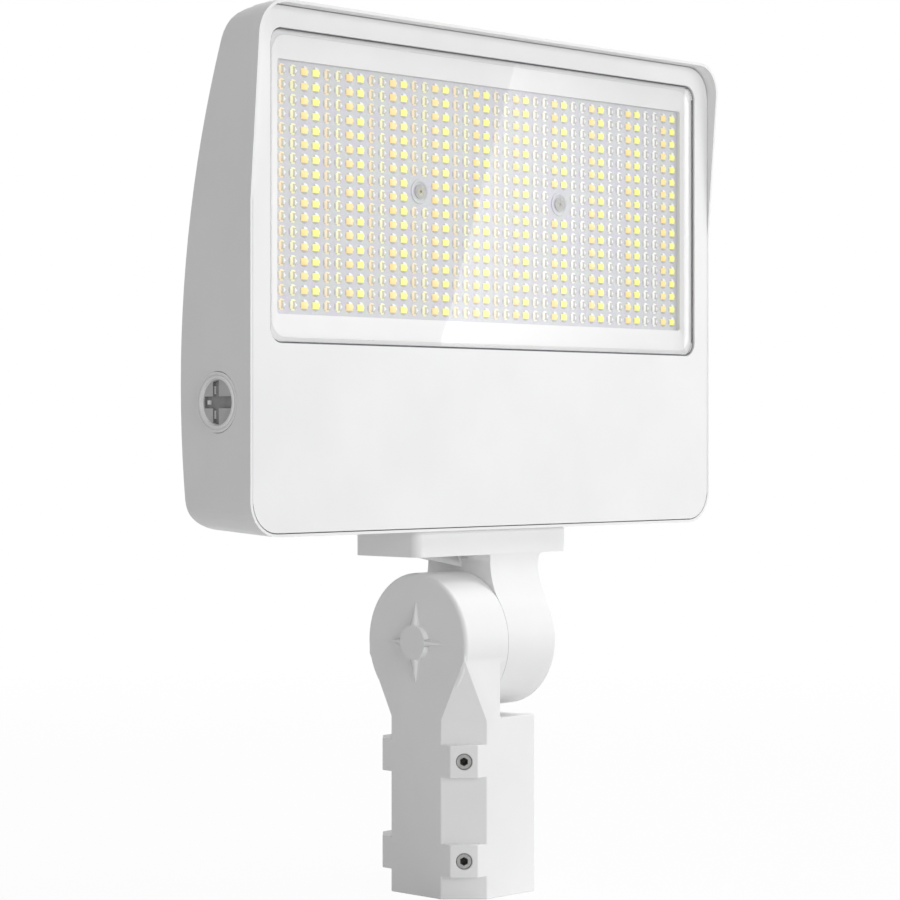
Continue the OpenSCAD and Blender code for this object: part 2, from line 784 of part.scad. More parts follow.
// The axis of a set screw runs outward along local Z, to the front left or the rear left corner
module set_screw_place(side, z) {
  translate([0, 0, z]) rotate([0, 0, side > 0 ? 135 : 225]) rotate([0, 90, 0]) children();
}

module slipfitter() color("whitesmoke") {
  h = socket_w / 2;
  web_x = left_x + web_w;
  x1 = joint_x - joint_gap / 2;
  taper_h = 36.6;
  taper_lap = 0.8;
  tilt = atan(corner_cut / sqrt(2) / (taper_h + taper_lap));
  difference() {
    union() {
      linear_extrude(shoulder_z) octagon(socket_w, corner_cut);
      difference() {
        translate([left_x, -h, shoulder_z - 1]) cube([web_w, socket_w, axis_z - shoulder_z + 1]);
        for (side = [-1, 1]) translate([left_x, side * h, shoulder_z + taper_h]) rotate([0, 0, -side * 45])
          rotate([0, -tilt, 0]) translate([-past, -past / 2, -past]) cube([past, past, 2 * past]);
      }
      mirror([1, 0, 0]) disc(-x1, x1 - left_x);
      difference() {
        translate([web_x - 1, 1 - h, shoulder_z - 4]) cube([4, socket_w - 2, 7]);
        translate([web_x + 3, -h, shoulder_z + 3]) rotate([-90, 0, 0]) cylinder(r = 3, h = socket_w);
      }
      translate([left_x, 0, axis_z]) rotate([0, -90, 0]) {
        cylinder(r1 = boss_r + 0.5, r2 = boss_r, h = boss_h);
        gussets();
      }
      for (z = [screw_low, screw_low + screw_span], side = [0, 1]) mirror([0, side, 0])
        screw_corner(z - screw_boss_h / 2, z + screw_boss_h / 2);
    }
    translate([web_x, 0, shoulder_z - dish_depth + dish_r]) rotate([0, 90, 0])
      translate([0, 0, 3]) cylinder(r = dish_r, h = socket_w, $fn = 256);
    translate([0, 0, -1]) cylinder(r = bore_r, h = bore_depth + 1);
    translate([left_x + web_w / 2, 0, bore_depth - 1]) cylinder(r = wire_r, h = axis_z - hub_r - bore_depth);
    wire_ring(left_x + 7, x1 + 1);
    axis_hole(bolt_r + thread_gap, left_x + 1, x1 + 1);
    at_set_screws() translate([0, 0, bore_r - 6]) {
      cylinder(r = screw_r + thread_gap, h = 30);
      translate([0, 0, screw_face - bore_r + 5.5])
        cylinder(r1 = screw_r + thread_gap, r2 = screw_r + 1, h = 1);
    }
  }
}

module knuckle_bolt() color("silver") {
  seat = right_disc_x - bolt_sink + joint_gap / 2 + washer_t + spring_t;
  difference() {
    union() {
      axis_hole(bolt_r, left_x + 2, seat + 1);
      translate([seat, 0, axis_z]) rotate([0, 90, 0]) cylinder(r = 11, h = bolt_head_h, $fn = 6);
    }
    translate([seat + bolt_head_h - 0.6, 0, axis_z]) rotate([0, 90, 0]) difference() {
      cylinder(r = 14, h = 2);
      translate([0, 0, -1]) cylinder(r1 = 10.4, r2 = 7.4, h = 3);
    }
  }
}

module spring_washer() color("silver") {
  x0 = right_disc_x - bolt_sink + joint_gap / 2 + washer_t;
  difference() {
    axis_hole(10.4, x0, x0 + spring_t);
    axis_hole(bolt_r + 0.2, x0 - 1, x0 + spring_t + 1);
    translate([x0 - 1, 0, axis_z]) rotate([20, 0, 0]) translate([0, -0.5, 0]) cube([10, 1, 20]);
  }
}

module flat_washer() color("silver") {
  x0 = right_disc_x - bolt_sink + joint_gap / 2;
  difference() {
    axis_hole(12.4, x0, x0 + washer_t);
    axis_hole(bolt_r + 0.3, x0 - 1, x0 + washer_t + 1);
  }
}

module set_screw(side, z) color("gray") {
  set_screw_place(side, z) translate([0, 0, screw_tip]) difference() {
    union() {
      cylinder(r1 = screw_r - 1, r2 = screw_r, h = 1);
      translate([0, 0, 1]) cylinder(r = screw_r, h = screw_l - 1.6);
      translate([0, 0, screw_l - 0.6]) cylinder(r1 = screw_r, r2 = screw_r - 0.6, h = 0.6);
    }
    translate([0, 0, screw_l - 5]) cylinder(r = 2.6, h = 8, $fn = 6);
    translate([0, 0, -0.01]) cylinder(r1 = 2.6, r2 = 0.6, h = 1.6);
  }
}

module set_screw_front_upper() set_screw(-1, screw_low + screw_span);
module set_screw_front_lower() set_screw(-1, screw_low);
module set_screw_rear_upper() set_screw(1, screw_low + screw_span);
module set_screw_rear_lower() set_screw(1, screw_low);

housing();
front_cover();
cover_seal();
cover_screws();
lens_glass();
lens_seal();
trim_frame();
optic_plate();
led_board();
board_screws();
board_connector();
led_leads();
driver();
driver_caps();
driver_screws();
surge_protector();
terminal_block();
side_plug();
plug_seal();
selector_switch();
selector_slider();
arm_seal();
arm_screws();
knuckle_arm();
slipfitter();
knuckle_bolt();
spring_washer();
flat_washer();
set_screw_front_upper();
set_screw_front_lower();
set_screw_rear_upper();
set_screw_rear_lower();
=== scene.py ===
import bmesh
import bpy
from math import radians
from mathutils import Matrix, Vector


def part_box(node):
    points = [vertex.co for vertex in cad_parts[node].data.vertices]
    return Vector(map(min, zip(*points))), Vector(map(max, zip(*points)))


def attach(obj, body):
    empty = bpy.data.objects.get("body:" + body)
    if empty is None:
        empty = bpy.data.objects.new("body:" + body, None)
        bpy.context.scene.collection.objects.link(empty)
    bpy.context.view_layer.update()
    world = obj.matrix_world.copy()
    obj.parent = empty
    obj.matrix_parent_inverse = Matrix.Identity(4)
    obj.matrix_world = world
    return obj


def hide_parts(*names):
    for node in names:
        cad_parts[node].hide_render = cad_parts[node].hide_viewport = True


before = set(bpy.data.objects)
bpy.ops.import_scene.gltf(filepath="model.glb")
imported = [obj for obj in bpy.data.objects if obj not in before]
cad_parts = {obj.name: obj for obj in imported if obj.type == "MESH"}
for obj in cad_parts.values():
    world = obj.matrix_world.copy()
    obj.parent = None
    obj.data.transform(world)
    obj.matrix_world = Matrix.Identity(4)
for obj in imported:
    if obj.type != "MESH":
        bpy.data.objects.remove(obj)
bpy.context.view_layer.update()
mm = 0.001
weld = 0.001 * mm  # vertices closer than this are one
level = 0.01 * mm  # points this close to a plane lie on it
print("frame loaded:", len(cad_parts), "CAD nodes")


def hexColour(text):
    # sRGB hex to the linear colour that the sockets take
    def channel(v):
        return v / 12.92 if v <= 0.04045 else ((v + 0.055) / 1.055) ** 2.4

    return tuple(channel(int(text[i : i + 2], 16) / 255) for i in (1, 3, 5)) + (1.0,)


def addNode(tree, kind, settings=None, links=None):
    # lower-case keys are the node's own settings, the rest are sockets by name or number
    node = tree.nodes.new(kind)
    for key, value in (settings or {}).items():
        if isinstance(key, str) and key[0].islower():
            setattr(node, key, value)
        else:
            node.inputs[key].default_value = value
    for key, source in (links or {}).items():
        tree.links.new(source, node.inputs[key])
    return node


def startMaterial(name):
    material = bpy.data.materials.new(name)
    material.use_nodes = True
    tree = material.node_tree
    tree.nodes.clear()
    return material, tree, addNode(tree, "ShaderNodeTexCoord").outputs["Object"]


def mottle(tree, place, grain, low, high, detail=2.0):
    # noise with a grain in mm, spread from low to high: nearly all of it lies between 0.3 and 0.7
    noise = addNode(tree, "ShaderNodeTexNoise", {"Scale": 1 / (grain * mm), "Detail": detail},
                    {"Vector": place})
    spread = addNode(tree, "ShaderNodeMapRange",
                     {"From Min": 0.3, "From Max": 0.7, "To Min": low, "To Max": high},
                     {"Value": noise.outputs["Fac"]})
    return spread.outputs["Result"]


roughGrain = 0.4  # grain of the roughness, as a share of the tone's


def solidFinish(name, look):
    # tones: two hex colours, toneGrain and bumpGrain in mm, rough: two limits, bumpDepth in mm
    # 0, 6 and 7 are a colour mix's factor and colours, and its colour comes out at 2
    material, tree, place = startMaterial(name)
    dark, pale = (hexColour(tone) for tone in look["tones"])
    tone = addNode(tree, "ShaderNodeMix", {"data_type": "RGBA", 6: dark, 7: pale},
                   {0: mottle(tree, place, look["toneGrain"], 0, 1)})
    colour = tone.outputs[2]
    if "farPaintedLightTones" in look:  # painted light: other tones towards the +X end, standing in for the studio's reflection on the domes there, mixed in over farSpan, in metres
        across = addNode(tree, "ShaderNodeSeparateXYZ", {}, {"Vector": place})
        start, end = look["farSpan"]
        share = addNode(tree, "ShaderNodeMapRange", {"From Min": start, "From Max": end},
                        {"Value": across.outputs["X"]})
        farDark, farPale = (hexColour(tone) for tone in look["farPaintedLightTones"])
        farTone = addNode(tree, "ShaderNodeMix", {"data_type": "RGBA", 6: farDark, 7: farPale},
                          {0: mottle(tree, place, look["toneGrain"], 0, 1)})
        blend = addNode(tree, "ShaderNodeMix", {"data_type": "RGBA"},
                        {0: share.outputs["Result"], 6: colour, 7: farTone.outputs[2]})
        colour = blend.outputs[2]
    bump = addNode(tree, "ShaderNodeBump", {"Strength": 1.0, "Distance": look["bumpDepth"] * mm},
                   {"Height": mottle(tree, place, look["bumpGrain"], 0, 1, 1.0)})
    shader = addNode(tree, "ShaderNodeBsdfPrincipled", look.get("sockets"),
                     {"Base Color": colour, "Normal": bump.outputs["Normal"],
                      "Roughness": mottle(tree, place, look["toneGrain"] * roughGrain, *look["rough"])})
    # painted light: an emission in the surface's own colour, though the part is no lamp
    if "glow" in look:
        shader.inputs["Emission Strength"].default_value = look["glow"]
        tree.links.new(colour, shader.inputs["Emission Color"])
    addNode(tree, "ShaderNodeOutputMaterial", {}, {"Surface": shader.outputs[0]})
    return material


finishes = {
    # satin polyester powder coat over die-cast aluminium: even white with a fine orange peel
    "satinPowderCoat": {"tones": ("#EEEEEF", "#F2F2F2"), "toneGrain": 55, "rough": (0.36, 0.46),
                        "bumpGrain": 1.8, "bumpDepth": 0.006, "sockets": {"IOR": 1.5}},
    # moulded white polycarbonate: smoother than the coat
    "mouldedWhitePolycarbonate": {"tones": ("#F0F0F0", "#F4F4F4"), "toneGrain": 40, "rough": (0.3, 0.38),
                                  "bumpGrain": 2.5, "bumpDepth": 0.003, "sockets": {"IOR": 1.58}},
    # grey silicone gasket: matt, a little dusty
    "greySiliconeRubber": {"tones": ("#606064", "#6E6E72"), "toneGrain": 6, "rough": (0.6, 0.75),
                           "bumpGrain": 0.8, "bumpDepth": 0.01},
    # turned stainless steel of screws and washers
    "turnedStainlessSteel": {"tones": ("#B4B4B2", "#C6C6C4"), "toneGrain": 3, "rough": (0.28, 0.4),
                             "bumpGrain": 0.5, "bumpDepth": 0.004, "sockets": {"Metallic": 1.0}},
    # the set screws' steel, darker and duller than the other screws
    "darkerScrewSteel": {"tones": ("#9C9C9A", "#AEAEAC"), "toneGrain": 2, "rough": (0.4, 0.5),
                         "bumpGrain": 0.5, "bumpDepth": 0.004, "sockets": {"Metallic": 1.0}},
    # zinc plated steel of the small inner screws: a little duller
    "zincPlatedSteel": {"tones": ("#C4C5C3", "#D4D4D0"), "toneGrain": 2, "rough": (0.35, 0.5),
                        "bumpGrain": 0.5, "bumpDepth": 0.004, "sockets": {"Metallic": 1.0}},
    # white solder mask over the aluminium lamp board
    "whiteSolderMask": {"tones": ("#E6E6E0", "#EFEFEA"), "toneGrain": 9, "rough": (0.25, 0.35),
                        "bumpGrain": 1.0, "bumpDepth": 0.003},
    # moulded acrylic lens plate over the white board: cool grey with faint lilac and green
    "frostedAcrylic": {"tones": ("#D3CFDD", "#D1D7D3"), "toneGrain": 6, "rough": (0.2, 0.3),
                       "bumpGrain": 3.0, "bumpDepth": 0.004, "sockets": {"IOR": 1.49}},
    # painted shade on the rims of the lens domes, where the clear acrylic turns the board's shadow to the eye
    "shadedAcrylicDomeRim": {"tones": ("#C3BFC8", "#C4C5B9"), "toneGrain": 5, "rough": (0.1, 0.16),
                        "bumpGrain": 2.0, "bumpDepth": 0.003, "sockets": {"IOR": 1.49}},
    # painted highlight: a white glint on the light side of a dome, with a faint painted glow
    "paintedDomeGlint": {"tones": ("#F4F3FA", "#FAFBF8"), "toneGrain": 5, "rough": (0.08, 0.12),
                          "glow": 0.05, "bumpGrain": 2.0, "bumpDepth": 0.003, "sockets": {"IOR": 1.49}},
    # warm white phosphor seen enlarged through its dome, with a painted glow that evens out its shading
    "warmPhosphor": {"tones": ("#FDE08C", "#FFE9A4"), "toneGrain": 6, "rough": (0.12, 0.2), "glow": 0.14,
                     "bumpGrain": 2.0, "bumpDepth": 0.003, "sockets": {"IOR": 1.49}},
    # cool white phosphor: lemon, with the same painted glow
    "coolPhosphor": {"tones": ("#FFFF7C", "#FFFF9A"), "toneGrain": 6, "rough": (0.12, 0.2), "glow": 0.14,
                     "bumpGrain": 2.0, "bumpDepth": 0.003, "sockets": {"IOR": 1.49}},
    # painted light: the domes that throw the light sideways show a bright crescent in the phosphor's tint,
    # with a faint painted glow, and whiter towards the far +X end as a painted reflection
    "peachCrescentPaintedLight": {"tones": ("#FAE3B8", "#FCEFD0"), "farPaintedLightTones": ("#FDFAF2", "#FFFFFF"),
                      "farSpan": (-0.01, 0.06), "toneGrain": 6, "rough": (0.1, 0.18), "glow": 0.07,
                      "bumpGrain": 2.0, "bumpDepth": 0.003, "sockets": {"IOR": 1.49}},
    "lemonCrescentPaintedLight": {"tones": ("#FBF9BE", "#FDFDDA"), "farPaintedLightTones": ("#FDFDF6", "#FFFFFF"),
                      "farSpan": (-0.01, 0.06), "toneGrain": 6, "rough": (0.1, 0.18), "glow": 0.07,
                      "bumpGrain": 2.0, "bumpDepth": 0.003, "sockets": {"IOR": 1.49}},
    # painted shade: the hollow of those crescents and the shaded edge of the phosphor, greyer towards the +X
    # end
    "domeShade": {"tones": ("#CDC3A0", "#C9C6AC"), "farPaintedLightTones": ("#B4B4AE", "#BDBCB8"),
                  "farSpan": (-0.01, 0.06), "toneGrain": 4, "rough": (0.12, 0.2),
                  "bumpGrain": 2.0, "bumpDepth": 0.003, "sockets": {"IOR": 1.49}},
    # painted shade in the cup of the side plug, standing in for the shade of its recess
    "plugCupShade": {"tones": ("#B8B8B8", "#C2C2C2"), "toneGrain": 9, "rough": (0.35, 0.45),
                        "bumpGrain": 1.2, "bumpDepth": 0.004},
    # deeper painted shade in the cross of that cup
    "plugCrossDeepShade": {"tones": ("#8C8C8C", "#989898"), "toneGrain": 5, "rough": (0.45, 0.55),
                       "bumpGrain": 1.2, "bumpDepth": 0.004},
    # painted shade in the hexagon sockets of the set screws: takes nearly all light
    "paintedSocketShade": {"tones": ("#4C4C4C", "#5C5C5C"), "toneGrain": 2, "rough": (0.45, 0.6),
                         "bumpGrain": 0.5, "bumpDepth": 0.004},
    # nylon of connector, terminal block and switch
    "ivoryNylon": {"tones": ("#DAD5C2", "#E3DFCE"), "toneGrain": 12, "rough": (0.45, 0.55),
                   "bumpGrain": 1.0, "bumpDepth": 0.01},
    # black acetal knob
    "blackAcetal": {"tones": ("#141414", "#1E1E1E"), "toneGrain": 4, "rough": (0.4, 0.5),
                    "bumpGrain": 0.8, "bumpDepth": 0.008},
    # brushed aluminium case of the driver
    "brushedAluminium": {"tones": ("#BFC1C4", "#CDCFD1"), "toneGrain": 14, "rough": (0.3, 0.42),
                         "bumpGrain": 0.6, "bumpDepth": 0.005, "sockets": {"Metallic": 1.0}},
    # dark moulded case of the surge protector
    "slateMouldedAbs": {"tones": ("#2F3A40", "#37434A"), "toneGrain": 10, "rough": (0.45, 0.55),
                        "bumpGrain": 1.0, "bumpDepth": 0.01},
    # red silicone lead insulation
    "redSiliconeLead": {"tones": ("#8C1C17", "#9C2620"), "toneGrain": 6, "rough": (0.5, 0.6),
                        "bumpGrain": 1.0, "bumpDepth": 0.005},
}
materials = {name: solidFinish(name, look) for name, look in finishes.items()}

# toughened float glass: the studio's light passes through it, and it reflects the studio, with faint smears
glass, glassTree, glassPlace = startMaterial("toughenedFloatGlass")
pane = addNode(glassTree, "ShaderNodeBsdfPrincipled",
               {"Base Color": hexColour("#FFFFFF"), "IOR": 1.5, "Transmission Weight": 1.0},
               {"Roughness": mottle(glassTree, glassPlace, 60, 0.0, 0.012)})
through = addNode(glassTree, "ShaderNodeBsdfTransparent", {"Color": hexColour("#FFFFFF")})
ray = addNode(glassTree, "ShaderNodeLightPath")
plain = addNode(glassTree, "ShaderNodeMath", {"operation": "MAXIMUM"},
                {0: ray.outputs["Is Shadow Ray"], 1: ray.outputs["Is Diffuse Ray"]})
either = addNode(glassTree, "ShaderNodeMixShader", {},
                 {0: plain.outputs[0], 1: pane.outputs[0], 2: through.outputs[0]})
addNode(glassTree, "ShaderNodeOutputMaterial", {}, {"Surface": either.outputs[0]})
materials["toughenedFloatGlass"] = glass
print("materials ready:", len(materials))


def finishPiece(name, bm, finishNames, body, standsFor, smooth):
    # smooth: the largest angle in degrees between faces that are shaded as one
    mesh = bpy.data.meshes.new(name)
    bm.to_mesh(mesh)
    bm.free()
    for finish in finishNames:
        mesh.materials.append(materials[finish])
    mesh.shade_smooth()
    mesh.set_sharp_from_angle(angle=radians(smooth))
    piece = bpy.data.objects.new(name, mesh)
    bpy.context.scene.collection.objects.link(piece)
    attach(piece, body)
    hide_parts(*standsFor)
    return piece


def mirrorFins(bm, zone):
    # some fin faces of the CAD mesh cross their fin on -X, so the sound fins of +X replace them, mirrored
    nearX, farX, lowY, lowZ = (value * mm for value in zone)
    sound, crossed = [], []
    for face in bm.faces:
        side = 1 if face.verts[0].co.x > 0 else -1
        if all(nearX <= side * vert.co.x <= farX and vert.co.y >= lowY and vert.co.z >= lowZ
               for vert in face.verts):
            (sound if side > 0 else crossed).append(face)
    twin = bmesh.ops.duplicate(bm, geom=sound)["geom"]
    bmesh.ops.delete(bm, geom=crossed, context="FACES")
    for vert in [part for part in twin if isinstance(part, bmesh.types.BMVert)]:
        vert.co.x = -vert.co.x
    bmesh.ops.reverse_faces(bm, faces=[part for part in twin if isinstance(part, bmesh.types.BMFace)])
    bmesh.ops.remove_doubles(bm, verts=bm.verts, dist=weld)


roundedFrom = 35  # degrees between two faces, from which their outward edge is rounded


def softenedCopy(name, node, soft):
    # the CAD casting with its triangles joined into faces and its outward edges rounded
    bm = bmesh.new()
    bm.from_mesh(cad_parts[node].data)
    bmesh.ops.remove_doubles(bm, verts=bm.verts, dist=weld)
    if "drawOut" in soft:
        # the disc's flat face moves along X to meet the other disc
        start, end, radius, axisZ = (value * mm for value in soft["drawOut"])
        for vert in bm.verts:
            if abs(vert.co.x - start) < level and (vert.co.yz - Vector((0, axisZ))).length < radius:
                vert.co.x = end
    for edgeX, edgeZ, moveX, moveZ in soft.get("spread", []):
        # the cover's outer edges move out to narrow its gap to the rim
        for vert in bm.verts:
            if abs(vert.co.x) > edgeX * mm:
                vert.co.x += (moveX if vert.co.x > 0 else -moveX) * mm
            if vert.co.z > edgeZ * mm:
                vert.co.z += moveZ * mm
    if "mirroredFins" in soft:
        mirrorFins(bm, soft["mirroredFins"])
    bmesh.ops.dissolve_limit(bm, angle_limit=radians(soft["joinAngle"]), verts=bm.verts, edges=bm.edges)
    if "radius" in soft:
        edges = []
        for edge in bm.edges:
            middle = (edge.verts[0].co + edge.verts[1].co) / 2
            leftSharp = any(all(low * mm <= middle[i] <= high * mm for i, (low, high) in enumerate(zone))
                            for zone in soft["leftSharp"])
            outward = edge.is_manifold and edge.is_convex and edge.calc_face_angle() > radians(roundedFrom)
            if outward and not leftSharp and edge.calc_length() > soft["shortest"] * mm:
                edges.append(edge)
        bmesh.ops.bevel(bm, geom=edges, offset=soft["radius"] * mm, offset_type="OFFSET", affect="EDGES",
                        segments=2, profile=0.5, material=-1, clamp_overlap=False)
    piece = finishPiece(name, bm, ["satinPowderCoat"], soft["body"], [node], soft["smooth"])
    weight = piece.modifiers.new("evenShading", "WEIGHTED_NORMAL")
    weight.keep_sharp = True


far = 999  # mm, beyond every piece
castings = {
    # radius and shortest length of the rounded edges in mm, angles up to which faces are shaded smooth and
    # joined in degrees, leftSharp: zones in mm (X, Y and Z limits) whose edges are not rounded
    # the housing has no rounded edges, because its rim is chamfered already
    "housing": {"name": "headCasting", "body": "head", "smooth": 12, "joinAngle": 0.05,
                "mirroredFins": (4.9, 178.05, -15.61, 330.9)},  # least and most X, least Y and least Z
    "front_cover": {"name": "coverCasting", "body": "head", "radius": 0.2, "shortest": 1.2, "smooth": 32,
                    "joinAngle": 0.5, "leftSharp": [],
                    "spread": [(196.9, 511.9, 0.35, 0.2)]},  # beyond this X and Z, moved by this in X and Z
    "knuckle_arm": {"name": "armCasting", "body": "head", "radius": 0.6, "shortest": 1.0, "smooth": 32,
                    "joinAngle": 0.5,
                    "leftSharp": [((-far, far), (-far, far), (198, 204)),
                                  ((-5, -1), (-far, far), (-far, far))]},
    "slipfitter": {"name": "slipfitterCasting", "body": "base", "radius": 0.6, "shortest": 1.0, "smooth": 32,
                   "joinAngle": 0.5,
                   "leftSharp": [((-far, far), (-far, -30), (120, 137)), ((-far, far), (30, far), (120, 137)),
                                 ((-far, -40.1), (-far, far), (-far, far)),
                                 ((-far, 0), (-far, far), (105, 108)), ((-5, -1), (-far, far), (105, far))],
                   "drawOut": (-6.4, -3.35, 41.4, 151)},  # from X, to X, radius, height of the axis
}
for node, soft in castings.items():
    softenedCopy(soft["name"], node, soft)
print("castings ready")


def slab(bm, width, height, low, high, cornerRadius, edgeRadius, centreZ):
    # an upright plate with rounded corners, facing -Y
    made = bmesh.ops.create_cube(bm, size=1.0)
    turn = Matrix.Translation((0, (low + high) / 2 * mm, centreZ * mm)) @ Matrix.Diagonal(
        (width * mm, (high - low) * mm, height * mm, 1))
    bmesh.ops.transform(bm, matrix=turn, verts=made["verts"])
    corners = [e for e in bm.edges if abs((e.verts[0].co - e.verts[1].co).y) > 0.5 * (high - low) * mm]
    bmesh.ops.bevel(bm, geom=corners, offset=cornerRadius * mm, offset_type="OFFSET", affect="EDGES",
                    segments=8, profile=0.5, material=-1)
    if edgeRadius:
        rims = [e for e in bm.edges if e.calc_face_angle() > radians(60)]  # between the faces and the sides
        bmesh.ops.bevel(bm, geom=rims, offset=edgeRadius * mm, offset_type="OFFSET", affect="EDGES",
                        segments=2, profile=0.5, material=-1)


glazing = {"width": 367.0, "height": 172.7, "front": -30.1, "back": -27.1, "corner": 7.6, "edge": 0.35,
           "centreZ": 412.75}
bm = bmesh.new()
slab(bm, glazing["width"], glazing["height"], glazing["front"], glazing["back"], glazing["corner"],
     glazing["edge"], glazing["centreZ"])
finishPiece("frontGlass", bm, ["toughenedFloatGlass"], "head", ["lens_glass"], smooth=20)
print("glass ready")

trim = {"width": 362.3, "height": 168.0, "corner": 10.0, "centreZ": 412.75,
        "profile": [(0.0, -27.05), (0.5, -27.0), (1.0, -24.9)],  # inset and Y, from the outer edge inwards
        "windowWidth": 350.0, "windowHeight": 141.6, "windowCorner": 1.6, "back": -22.45}
bm = bmesh.new()
made = bmesh.ops.create_grid(bm, x_segments=1, y_segments=1, size=0.5)
bmesh.ops.transform(bm, verts=made["verts"],
                    matrix=Matrix.Translation((0, trim["profile"][0][1] * mm, trim["centreZ"] * mm))
                    @ Matrix.Rotation(radians(90), 4, "X")
                    @ Matrix.Diagonal((trim["width"] * mm, trim["height"] * mm, 1, 1)))
bmesh.ops.bevel(bm, geom=list(bm.verts), offset=trim["corner"] * mm, offset_type="OFFSET", affect="VERTICES",
                segments=8, profile=0.5, material=-1)
window = bm.faces[:][0]
inset = 0
for inward, placeY in trim["profile"][1:]:
    bmesh.ops.inset_region(bm, faces=[window], thickness=(inward - inset) * mm, use_even_offset=True,
                           use_boundary=True)
    for vert in window.verts:
        vert.co.y = placeY * mm
    inset = inward
oldCorner = trim["corner"] - inset
for vert in window.verts:  # each corner's arc moves in to the corner of the window
    sideX, sideZ = (1 if vert.co.x > 0 else -1), (1 if vert.co.z > trim["centreZ"] * mm else -1)
    arcX = sideX * (trim["width"] / 2 - inset - oldCorner) * mm
    arcZ = (trim["centreZ"] + sideZ * (trim["height"] / 2 - inset - oldCorner)) * mm
    small = trim["windowCorner"] / oldCorner
    vert.co.x = sideX * (trim["windowWidth"] / 2 - trim["windowCorner"]) * mm + (vert.co.x - arcX) * small
    vert.co.z = (trim["centreZ"] + sideZ * (trim["windowHeight"] / 2 - trim["windowCorner"])) * mm + (
        vert.co.z - arcZ) * small
wall = bmesh.ops.extrude_face_region(bm, geom=[window])
bmesh.ops.translate(bm, verts=[v for v in wall["geom"] if isinstance(v, bmesh.types.BMVert)],
                    vec=(0, (trim["back"] - trim["profile"][-1][1]) * mm, 0))
inner = [f for f in wall["geom"] if isinstance(f, bmesh.types.BMFace)]
bmesh.ops.delete(bm, geom=inner + ([window] if window.is_valid else []), context="FACES_ONLY")
if sum(f.normal.y * f.calc_area() for f in bm.faces) > 0:
    bmesh.ops.reverse_faces(bm, faces=bm.faces)
finishPiece("trimMoulding", bm, ["mouldedWhitePolycarbonate"], "head", ["trim_frame"],
            smooth=40)
print("trim ready")

lampField = {"columns": 40, "rows": 17, "columnStep": 8.712, "rowStep": 8.176, "centreZ": 412.75,
             "plateFront": -22.4, "plateBack": -21.95, "plateWidth": 355.5, "plateHeight": 147.1,
             "plateCorner": 2.0, "domeRadius": 3.3, "domeHeight": 0.7,
             "patternReach": 0.95, "squareHalf": (0.78, 0.58),  # shares of a dome's radius
             "screwX": 60.98, "screwRise": 4.09,
             # radius and height of each ring of the collar and of the screw's head
             "collar": [(7.4, 0.0), (7.0, 0.6), (5.8, 0.6), (5.2, 0.05)],
             "screwHead": [(4.2, 0.0), (4.2, 0.72), (2.94, 1.14), (0.84, 1.2)],
             "ringSteps": 20,
             "recess": (5.46, 0.1, 1.344), "recessTurns": (20, 110)}  # size of a painted-shade slot, and both turns
# each column of four throws its light another way, so its domes show another pattern, top row first: w and c
# are warm and cool phosphor, p and q the crescents of painted light, s painted shade, h a painted glint and .
# the dome's rim in painted shade
cellPatterns = [
    ["..ppph.", ".ppsss.", ".pps.h.", ".pps.hh", ".pps.h.", ".ppsss.", "..ppp.."],
    ["..qqqh.", ".qqsss.", ".qqs.h.", ".qqs.hh", ".qqs.h.", ".qqsss.", "..qqq.."],
    ["...hhh.", ".wwwww.", "swwwwwh", "swwwwwh", "swwwww.", ".wwwww.", "..s...."],
    ["...hhh.", ".ccccc.", "sccccch", "sccccch", "sccccc.", ".ccccc.", "..s...."],
]
cellFinishes = {".": 1, "h": 2, "w": 3, "c": 4, "p": 5, "q": 6, "s": 7}
domeFinishes = ["frostedAcrylic", "shadedAcrylicDomeRim", "paintedDomeGlint", "warmPhosphor", "coolPhosphor",
                "peachCrescentPaintedLight", "lemonCrescentPaintedLight", "domeShade", "zincPlatedSteel"]
shade, steel = domeFinishes.index("domeShade"), domeFinishes.index("zincPlatedSteel")


def domeTemplate(pattern):
    # a grid drawn out to a round dome whose middle cells keep the square of the lamp below
    bm = bmesh.new()
    cells = len(pattern)
    bmesh.ops.create_grid(bm, x_segments=cells, y_segments=cells, size=1.0)
    radius, height = lampField["domeRadius"] * mm, lampField["domeHeight"] * mm
    ball = (radius**2 + height**2) / (2 * height)
    for face in bm.faces:
        middle = face.calc_center_median()
        column, row = int((middle.x + 1) * cells / 2), int((1 - middle.y) * cells / 2)
        face.material_index = cellFinishes[pattern[row][column]]
    square = pattern[1][1] in "wc"
    for vert in bm.verts:
        flat = Vector((vert.co.x, vert.co.y))
        if max(abs(flat.x), abs(flat.y)) > 0.99:  # on the grid's own edge
            flat = flat.normalized() * radius
        elif square:  # the phosphor keeps its square shape, drawn wide by the dome
            half = Vector(lampField["squareHalf"])
            flat = flat / (1 - 2 / cells) * half * radius
        else:
            flat = flat * radius * lampField["patternReach"]
        rise = (ball**2 - min(flat.length, radius) ** 2) ** 0.5 - (ball - height)
        vert.co = (flat.x, -rise, flat.y)
    bmesh.ops.recalc_face_normals(bm, faces=bm.faces)
    if sum(f.normal.y for f in bm.faces) > 0:
        bmesh.ops.reverse_faces(bm, faces=bm.faces)
    mesh = bpy.data.meshes.new("domeTemplate")
    bm.to_mesh(mesh)
    bm.free()
    return mesh


def lampPlaces():
    for column in range(lampField["columns"]):
        x = (column - (lampField["columns"] - 1) / 2) * lampField["columnStep"]
        for row in range(lampField["rows"]):
            z = ((lampField["rows"] - 1) / 2 - row) * lampField["rowStep"]
            nearScrew = (abs(abs(x) - lampField["screwX"]) < lampField["columnStep"]
                         and abs(z - lampField["screwRise"]) < lampField["rowStep"])
            if not nearScrew:
                yield column, x * mm, (lampField["centreZ"] + z) * mm


